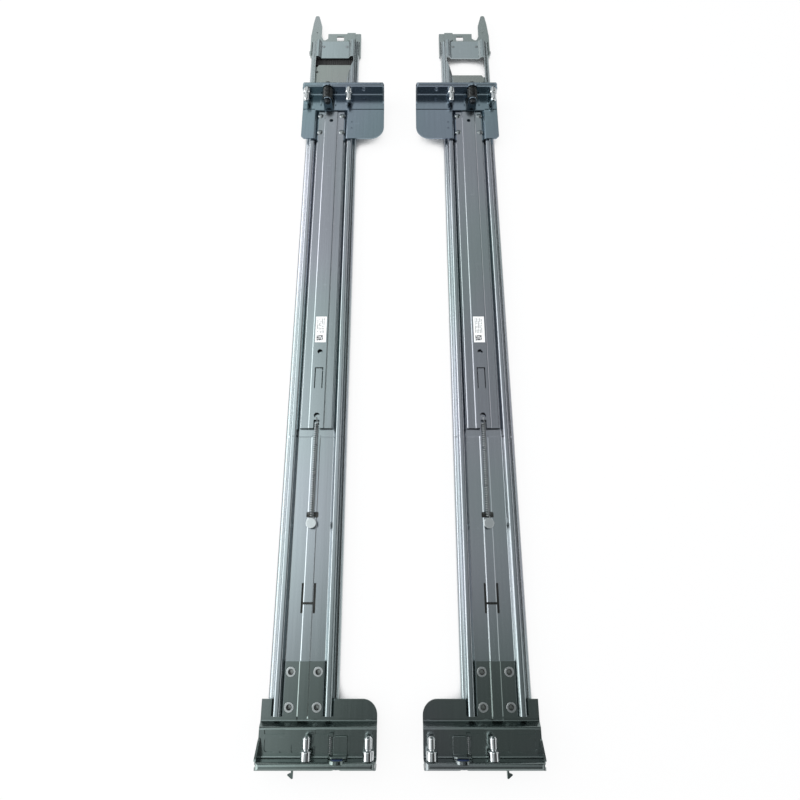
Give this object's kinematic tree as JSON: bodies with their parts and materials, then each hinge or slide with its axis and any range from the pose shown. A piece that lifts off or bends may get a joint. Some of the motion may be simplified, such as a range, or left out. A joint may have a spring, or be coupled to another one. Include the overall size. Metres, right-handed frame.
{
  "type": "sliding server rail pair",
  "caption": "Pair of telescopic ball-bearing rack rails: sheet steel channels with folded stud brackets, sprung release buttons and a sliding rear extension.",
  "frame": {"origin": "middle of the pair at the underside of the outer members", "axes": "+Y along the rails towards the rear of the rack, +Z out of the rails' rack side, +X across the pair; the pair is mirrored about X = 0"},
  "size_m": [0.208, 0.7538, 0.0259],
  "materials": {
    "rail_zinc": "bright zinc plated sheet",
    "bracket_zinc": "zinc plated sheet",
    "channel_zinc": "bright zinc plated sheet",
    "slide_zinc": "zinc plated, ball races bare",
    "stud_chrome": "turned and plated",
    "rivet_steel": "plated",
    "spring_steel": "drawn wire",
    "cage_steel": "stamped strip",
    "ball_chrome": "ground and polished",
    "blue_plastic": "moulded",
    "white_sticker": "bare printed label stock",
    "black_rubber": "moulded"
  },
  "bodies": {
    "rails": {"left_outer_member": "rail_zinc", "left_front_bracket": "bracket_zinc", "left_front_studs": "stud_chrome", "left_front_striker": "bracket_zinc", "left_front_button_spring": "spring_steel", "left_front_rivets": "rivet_steel", "left_spring_post": "rivet_steel", "left_tension_spring": "spring_steel", "left_cable_arm_bracket": "bracket_zinc", "left_cable_arm_rivets": "rivet_steel", "left_rear_bumpers": "black_rubber", "right_outer_member": "rail_zinc", "right_front_bracket": "bracket_zinc", "right_front_studs": "stud_chrome", "right_front_striker": "bracket_zinc", "right_front_button_spring": "spring_steel", "right_front_rivets": "rivet_steel", "right_spring_post": "rivet_steel", "right_tension_spring": "spring_steel", "right_cable_arm_bracket": "bracket_zinc", "right_cable_arm_rivets": "rivet_steel", "right_rear_bumpers": "black_rubber"},
    "left_extension": {"left_extension_channel": "channel_zinc", "left_rear_bracket": "bracket_zinc", "left_rear_studs": "stud_chrome", "left_rear_rivets": "rivet_steel", "left_rear_button_spring": "spring_steel", "left_label": "white_sticker"},
    "left_front_release": {"left_front_button": "blue_plastic", "left_front_slider": "bracket_zinc"},
    "left_rear_release": {"left_rear_button": "rivet_steel"},
    "left_middle_slide": {"left_middle_member": "slide_zinc"},
    "left_inner_slide": {"left_inner_member": "slide_zinc", "left_lever_pin": "rivet_steel"},
    "left_lever": {"left_lock_lever": "blue_plastic"},
    "left_outer_bearing": {"left_outer_ball_cage": "cage_steel", "left_outer_balls": "ball_chrome"},
    "left_inner_bearing": {"left_inner_ball_cage": "cage_steel", "left_inner_balls": "ball_chrome"},
    "right_extension": {"right_extension_channel": "channel_zinc", "right_rear_bracket": "bracket_zinc", "right_rear_studs": "stud_chrome", "right_rear_rivets": "rivet_steel", "right_rear_button_spring": "spring_steel", "right_label": "white_sticker"},
    "right_front_release": {"right_front_button": "blue_plastic", "right_front_slider": "bracket_zinc"},
    "right_rear_release": {"right_rear_button": "rivet_steel"},
    "right_middle_slide": {"right_middle_member": "slide_zinc"},
    "right_inner_slide": {"right_inner_member": "slide_zinc", "right_lever_pin": "rivet_steel"},
    "right_lever": {"right_lock_lever": "blue_plastic"},
    "right_outer_bearing": {"right_outer_ball_cage": "cage_steel", "right_outer_balls": "ball_chrome"},
    "right_inner_bearing": {"right_inner_ball_cage": "cage_steel", "right_inner_balls": "ball_chrome"}
  },
  "joints": [
    {"name": "left_depth_adjust", "type": "slide", "parent": "rails", "child": "left_extension", "axis": [0, 1, 0], "range_m": [0, 0.237], "stiffness_N_per_m": 60, "springref_m": -0.01, "deforming": ["left_tension_spring"]},
    {"name": "left_front_release_press", "type": "slide", "parent": "rails", "child": "left_front_release", "axis": [0, 1, 0], "range_m": [0, 0.004], "stiffness_N_per_m": 400, "springref_m": -0.004, "deforming": ["left_front_button_spring"]},
    {"name": "left_rear_release_press", "type": "slide", "parent": "left_extension", "child": "left_rear_release", "axis": [0, -1, 0], "range_m": [0, 0.004], "stiffness_N_per_m": 400, "springref_m": -0.004, "deforming": ["left_rear_button_spring"]},
    {"name": "left_middle_travel", "type": "slide", "parent": "rails", "child": "left_middle_slide", "axis": [0, -1, 0], "range_m": [0, 0.35]},
    {"name": "left_inner_travel", "type": "slide", "parent": "left_middle_slide", "child": "left_inner_slide", "axis": [0, -1, 0], "range_m": [0, 0.35]},
    {"name": "left_outer_bearing_travel", "type": "slide", "parent": "rails", "child": "left_outer_bearing", "axis": [0, -1, 0], "range_m": [0, 0.175]},
    {"name": "left_inner_bearing_travel", "type": "slide", "parent": "left_middle_slide", "child": "left_inner_bearing", "axis": [0, -1, 0], "range_m": [0, 0.175]},
    {"name": "left_lever_swing", "type": "hinge", "parent": "left_inner_slide", "child": "left_lever", "pos_m": [-0.073, -0.2611, 0.0024], "axis": [0, 0, 1], "range_deg": [0, 4], "stiffness_Nm_per_rad": 0.05, "springref_deg": -5.73},
    {"name": "right_depth_adjust", "type": "slide", "parent": "rails", "child": "right_extension", "axis": [0, 1, 0], "range_m": [0, 0.237], "stiffness_N_per_m": 60, "springref_m": -0.01, "deforming": ["right_tension_spring"]},
    {"name": "right_front_release_press", "type": "slide", "parent": "rails", "child": "right_front_release", "axis": [0, 1, 0], "range_m": [0, 0.004], "stiffness_N_per_m": 400, "springref_m": -0.004, "deforming": ["right_front_button_spring"]},
    {"name": "right_rear_release_press", "type": "slide", "parent": "right_extension", "child": "right_rear_release", "axis": [0, -1, 0], "range_m": [0, 0.004], "stiffness_N_per_m": 400, "springref_m": -0.004, "deforming": ["right_rear_button_spring"]},
    {"name": "right_middle_travel", "type": "slide", "parent": "rails", "child": "right_middle_slide", "axis": [0, -1, 0], "range_m": [-0.015, 0.335]},
    {"name": "right_inner_travel", "type": "slide", "parent": "right_middle_slide", "child": "right_inner_slide", "axis": [0, -1, 0], "range_m": [0, 0.35]},
    {"name": "right_outer_bearing_travel", "type": "slide", "parent": "rails", "child": "right_outer_bearing", "axis": [0, -1, 0], "range_m": [-0.0075, 0.1675]},
    {"name": "right_inner_bearing_travel", "type": "slide", "parent": "right_middle_slide", "child": "right_inner_bearing", "axis": [0, -1, 0], "range_m": [0, 0.175]},
    {"name": "right_lever_swing", "type": "hinge", "parent": "right_inner_slide", "child": "right_lever", "pos_m": [0.073, -0.2761, 0.0024], "axis": [0, 0, 1], "range_deg": [0, 4], "stiffness_Nm_per_rad": 0.05, "springref_deg": -5.73}
  ],
  "couplings": [
    {"joint": "left_outer_bearing_travel", "follows": "left_middle_travel", "ratio": 0.5},
    {"joint": "left_inner_bearing_travel", "follows": "left_inner_travel", "ratio": 0.5},
    {"joint": "right_outer_bearing_travel", "follows": "right_middle_travel", "ratio": 0.5},
    {"joint": "right_inner_bearing_travel", "follows": "right_inner_travel", "ratio": 0.5}
  ]
}
